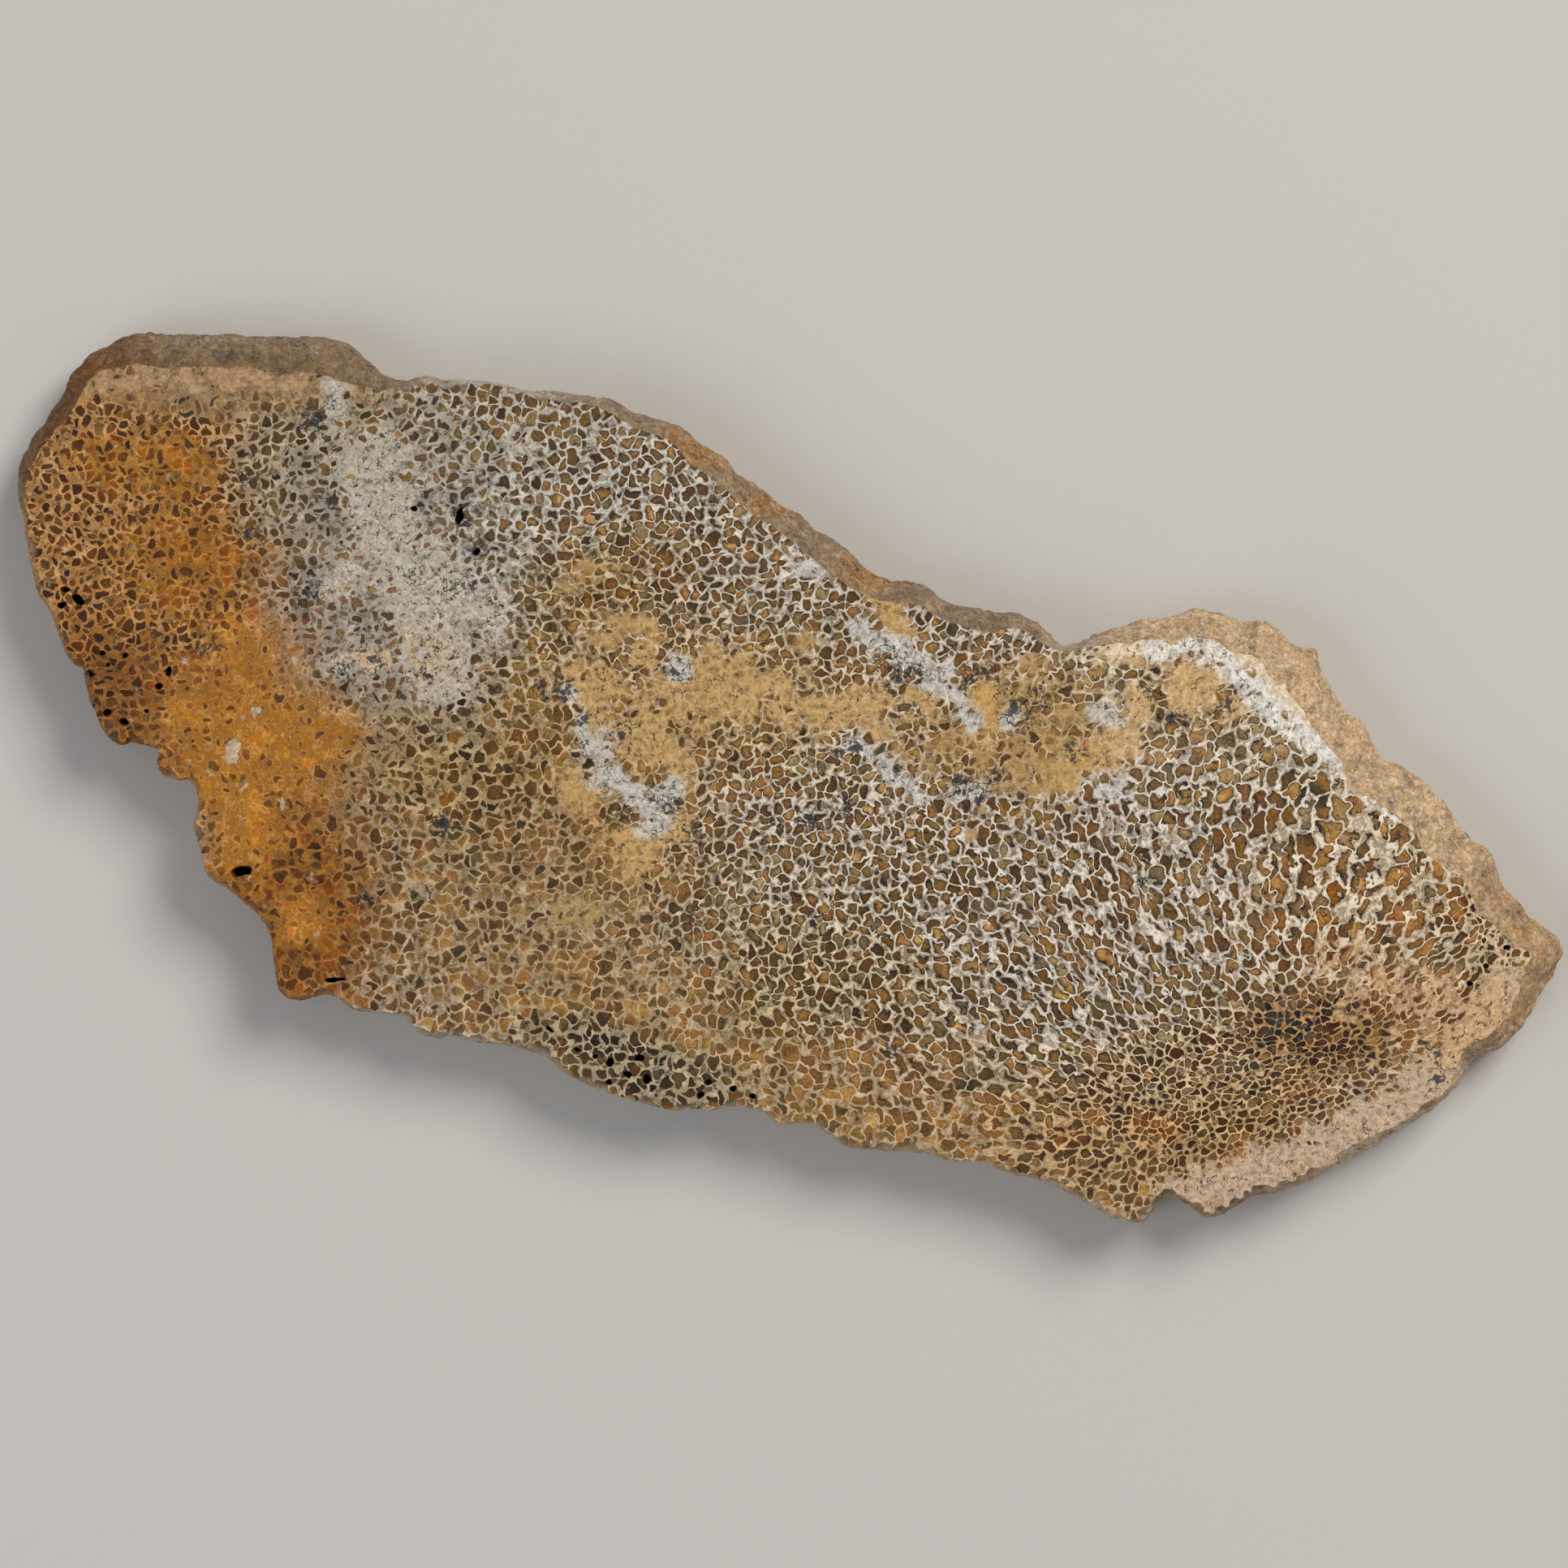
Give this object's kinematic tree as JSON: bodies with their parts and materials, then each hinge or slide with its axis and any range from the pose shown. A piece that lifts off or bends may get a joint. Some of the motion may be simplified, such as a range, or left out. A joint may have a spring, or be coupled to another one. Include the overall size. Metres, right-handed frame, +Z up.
{
  "type": "agatized dinosaur bone slab",
  "caption": "Sawn slab of agatized fossil bone: a long irregular flat plate of spongy bone with two flat faces, natural bone surface along part of its edge and small open cells.",
  "frame": {"origin": "middle of the slab's bounding box, on the plane of the lower sawn face that it lies on", "axes": "+Z up out of the upper sawn face; +X along the longer side of the bounding box, towards the broken tip; +Y across the slab, towards the edge with the natural bone surface"},
  "size_m": [0.1438, 0.0824, 0.008],
  "materials": {
    "agatized_bone": "silica-replaced spongy bone, sawn and lightly smoothed: cream cell walls round brown agate fillings, with ochre, orange and white patches and blue-black specks"
  },
  "bodies": {
    "root": {"bone_slab": "agatized_bone"}
  },
  "joints": []
}
